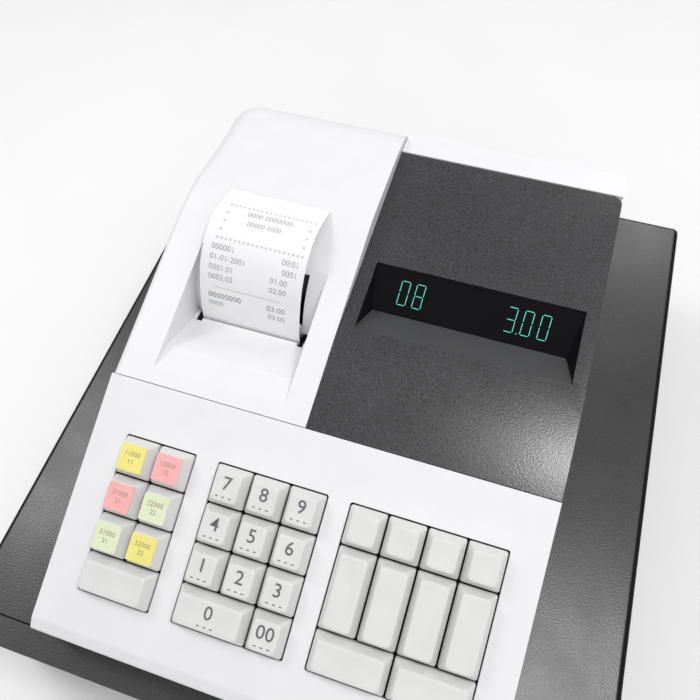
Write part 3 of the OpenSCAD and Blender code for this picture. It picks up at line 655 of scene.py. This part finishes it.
def key_cap(node):
    """A tapered cap with round corners and a dished top, its label or its legend."""
    tag = node.split("_")[1]
    cx, cd, w, d, rise = key_cell(node)
    # inset from the cell, height and corner radius of each ring
    profile = [(0.3, -2, 0.8), (0, -1.6, 1.0), (0.05, 0.6, 1.2), (2.15, rise - 1.1, 2.2),
               (2.4, rise - 0.45, 2.4), (2.8, rise - 0.12, 2.5), (DISH_EDGE, rise, 2.6),
               (4.6, rise - 0.1, 2.2), (6.5, rise - DISH_DEPTH, 1.6)]
    rings = [[on_slope(x, y, out) for x, y in rounded_box(w - 2 * inset, d - 2 * inset, radius, 6, cx, cd)]
             for inset, out, radius in profile]
    cap = loft("cap_" + tag, rings, KEYCAP)
    ready(cap, node, "key_plastic", node)

    def face(lift, drop):
        """A place on the dished top, that far out of it and that far below its middle."""
        def spot(x, y, z):
            inset = min(w / 2 - abs(x), d / 2 - abs(drop - y))
            dish = DISH_DEPTH * min(max((inset - DISH_EDGE) / DISH_REACH, 0), 1) ** DISH_CURVE
            return on_slope(cx + x, cd + drop - y, rise - dish + lift + z)
        return spot

    if tag in LABELS:
        paint = LABELS[tag]
        size = w - 2 * LABEL_INSET
        rings = []
        for inset, out in ((0, -0.6), (0, 0.02), (0.15, 0.1)):
            side = size - 2 * inset
            rings.append([on_slope(x, y, rise + out) for x, y in rounded_box(side, side, 0.8, 3, cx, cd)])
        label = loft("label_" + tag, rings, paint)
        ready(label, node, LABEL_SLOTS[paint])
        for row, (text, drop) in enumerate(((tag[1:] + "000", -1.9), (tag[1:], 1.9))):
            def spot(x, y, z, drop=drop):
                return on_slope(cx + x, cd + drop - y, rise + 0.12 + z)
            ready(lettering(f"mark_{tag}_{row + 1}", text, 3.4, spot, LABEL_INK), node, "key_plastic")
    elif tag in LEGENDS:
        legend = lettering("legend_" + tag, LEGENDS[tag], 9.2, face(0.07, -1.5), INK, heavy=0.04)
        mark = lettering("mark_" + tag, "- - -", 5.5, face(0.07, 4.3), INK)
        for print_piece in (legend, mark):
            ready(print_piece, node, "key_plastic")
    return cap


def keyboard():
    """Every key, and the edges of the wells that they stand in."""
    wells = []
    for block_name in "lpr":
        nodes = [n for n in frame["nodes"] if n.startswith("key_" + block_name)]
        cells = [key_cell(n) for n in nodes]
        wells.append((min(c[0] - c[2] / 2 for c in cells) - WELL_GAP,
                      max(c[0] + c[2] / 2 for c in cells) + WELL_GAP,
                      min(c[1] - c[3] / 2 for c in cells) - WELL_GAP,
                      max(c[1] + c[3] / 2 for c in cells) + WELL_GAP))
        for node in nodes:
            key_cap(node)
    keyboard_panel(wells)


# ---- receipt ----
# (y, z) from the slot up and back over the arch
SHEET = [(-2.6, 54), (-2.4, 60), (0.2, 71), (4.5, 82), (10.5, 92.5), (18.5, 100.5), (28, 105.2),
         (37, 106.2), (46, 104.6), (53.5, 102.2), (58, 101.1)]


def sheet_path(steps):
    """Evenly spaced points of the smooth curve through SHEET, each with its direction."""
    pts = [Vector(p) for p in SHEET]
    fine = []
    for i in range(len(pts) - 1):
        p0, p1, p2, p3 = pts[max(i - 1, 0)], pts[i], pts[i + 1], pts[min(i + 2, len(pts) - 1)]
        for k in range(12):
            t = k / 12
            fine.append(0.5 * (2 * p1 + (p2 - p0) * t + (2 * p0 - 5 * p1 + 4 * p2 - p3) * t ** 2
                               + (3 * p1 - p0 - 3 * p2 + p3) * t ** 3))
    fine.append(pts[-1])
    lengths = [0]
    for a, b in zip(fine, fine[1:]):
        lengths.append(lengths[-1] + (b - a).length)
    path = []
    for k in range(steps + 1):
        target = lengths[-1] * k / steps
        i = max(j for j in range(len(lengths) - 1) if lengths[j] <= target + 1e-9)
        step = fine[i + 1] - fine[i]
        path.append((fine[i] + step * (target - lengths[i]) / step.length, step.normalized()))
    return path, lengths[-1]


def receipt():
    """The printed receipt that arches back out of its slot."""
    steps, print_lift = 40, 0.03
    path, length = sheet_path(steps)
    rings = []
    for point, line in path:
        across = Vector((-line.y, line.x)) * PAPER_T
        rings.append([(PAPER_X[0], *point), (PAPER_X[1], *point),
                      (PAPER_X[1], *(point + across)), (PAPER_X[0], *(point + across))])
    sheet = loft("receipt_sheet", rings, PAPER)
    ready(sheet, "printer_cover", "paper", "receipt_paper")
    middle = (PAPER_X[0] + PAPER_X[1]) / 2

    def spot(dx, up):
        def on_sheet(x, y, z):
            s = min(max((up + y) / length * steps, 0), steps - 0.001)
            i = int(s)
            point = path[i][0].lerp(path[i + 1][0], s - i)
            line = path[i][1]
            lifted = point + Vector((-line.y, line.x)) * (PAPER_T + print_lift + z)
            return middle + dx + x, lifted.x, lifted.y
        return on_sheet

    def line(name, text, across, up, size, align="CENTER", heavy=0.0):
        mark = lettering(name, text, size, spot(across - middle, up), PRINT, 0.02, align, heavy)
        ready(mark, "printer_cover", "paper")

    left, right, price = PAPER_X[0] + 4.8, PAPER_X[1] - 3.5, PAPER_X[1] - 8.3
    # place along the sheet, left text, right text, right text's end, size, extra weight
    rows = [(53.4, "000001", "00:01", right, 4.4, 0), (48.0, "01-01-2001", "0001", right, 4.4, 0),
            (42.5, "0001.01", "01.00", price, 4.4, 0), (37.1, "0002.02", "02.00", price, 4.4, 0),
            (25.7, "00000000", "03.00", price, 4.8, 0.05), (20.4, "0000", "03.00", price, 4.4, 0)]
    for k, (up, first, second, end, size, heavy) in enumerate(rows):
        line(f"row_{k + 1}_left", first, left, up, size, "LEFT", heavy)
        line(f"row_{k + 1}_right", second, end, up, size, "RIGHT", heavy)
    line("rule", "-" * 37, (left + price) / 2, 31.5, 3.2)
    for k, up in enumerate((58.4, 80)):
        line(f"box_edge_{k + 1}", "* " * 19 + "*", middle + 1.8, up - 0.8, 3.6)
    for k, up in enumerate((63.1, 68.4, 73.4)):
        for side, across in (("left", -23.1), ("right", 23.1)):
            line(f"box_{side}_{k + 1}", "*", middle + 1.8 + across, up - 0.8, 4.1)
    line("box_line_1", "0000 0000000", middle + 1.8, 75.2, 4.4)
    line("box_line_2", "00000 0000", middle + 0.8, 69, 4.0)


# ---- CAD nodes that keep their shape ----
CAD_LOOKS = {
    "rubber_feet": (RUBBER, 0.8), "drawer_rails": (ZINC, 0.4), "drawer_latch": (ZINC, 0.4),
    "drawer_tray": (ZINC, 0.4), "drawer_front": (POWDER, 1.5), "drawer_lock": (CHROME, 0.4),
    "cash_till": (BLACK, 0.8), "base_case": (WHITE, 0.7), "rear_case": (WHITE, 0.5),
    "display_window": (GLASS, 0.1), "display_module": (BOARD, 0.2), "printer_frame": (BLACK, 0.6),
    "print_head": (ZINC, 0.3), "tear_bar": (ZINC, 0), "platen_shaft": (ZINC, 0.15),
    "platen_roller": (RUBBER, 0.4), "paper_roll": (PAPER, 0.3), "main_board": (BOARD, 0.2),
    "keyboard_board": (BOARD, 0.2), "key_guide": (BLACK, 0.2), "power_supply": (CLIP, 0.8),
    "rear_sockets": (BLACK, 0.3), "case_screws": (ZINC, 0.3),
    **{f"note_clip_{i}": (CLIP, 0.5) for i in range(1, 5)},
}


def dress_nodes():
    """Gives the CAD's own meshes their materials and rounds their edges."""
    for node, (look, edge) in CAD_LOOKS.items():
        part = frame["nodes"][node]
        part.data.materials.clear()
        part.data.materials.append(look)
        if edge:
            soften(part, edge, 2)


# ---- studio ----
def studio():
    """A pale floor, soft light and the camera."""
    size = 10
    floor_finish = finish("floor", (0.97, 0.97, 0.97), 0.6, grain=2, relief=0.01, mottle=0.01)
    floor = new_object("floor", [(-size, -size, 0), (size, -size, 0), (size, size, 0), (-size, size, 0)],
                       [(0, 1, 2, 3)], floor_finish)
    world = bpy.data.worlds.new("studio")
    world.use_nodes = True
    nodes, links = world.node_tree.nodes, world.node_tree.links
    sky = nodes["Background"]
    where = nodes.new("ShaderNodeTexCoord")
    split = nodes.new("ShaderNodeSeparateXYZ")
    sky.inputs["Color"].default_value = (1, 1, 1, 1)
    rise = nodes.new("ShaderNodeMapRange")
    rise.inputs["From Max"].default_value = 0.6
    rise.inputs["To Min"].default_value = 0.44
    rise.inputs["To Max"].default_value = 0.56
    links.new(where.outputs["Generated"], split.inputs["Vector"])
    links.new(split.outputs["Z"], rise.inputs["Value"])
    links.new(rise.outputs["Result"], sky.inputs["Strength"])
    bpy.context.scene.world = world
    bpy.context.scene.view_settings.view_transform = "Standard"
    # name, place, power and width of each lamp; all of them look at the same point
    aim = Vector((0, 0, 0.15))
    lamps = (("top", (0.36, -0.02, 1.15), 4.0, 0.24), ("back", (0.4, 1.35, 1.15), 3.0, 0.3),
             ("left", (-0.8, 0.12, 1.1), 3.4, 0.36), ("front", (0.2, -0.95, 0.9), 1.3, 0.7))
    for name, spot, power, width in lamps:
        lamp = bpy.data.lights.new(name, "AREA")
        lamp.energy = power
        lamp.size = width
        made = bpy.data.objects.new(name, lamp)
        made.location = spot
        made.rotation_euler = (aim - Vector(spot)).to_track_quat("-Z", "Y").to_euler()
        bpy.context.collection.objects.link(made)
    view = bpy.data.cameras.new("camera")
    view.lens = 35.353
    view.sensor_width = 36
    view.clip_start = 0.01
    camera = bpy.data.objects.new("camera", view)
    camera.location = (0.060567, -0.167161, 0.481627)
    camera.rotation_euler = Euler([math.radians(a) for a in (28.9731, 2.0885, 17.9120)], "XYZ")
    bpy.context.collection.objects.link(camera)
    bpy.context.scene.camera = camera


drawer_housing()
printer_cover()
slot_shade_frame()
display_panel()
display_text([("0", 13.8), ("8", 22.0), ("3", 70.9), (".", 77.4), ("0", 79.4), ("0", 88.1)])
keyboard()
receipt()
dress_nodes()
studio()
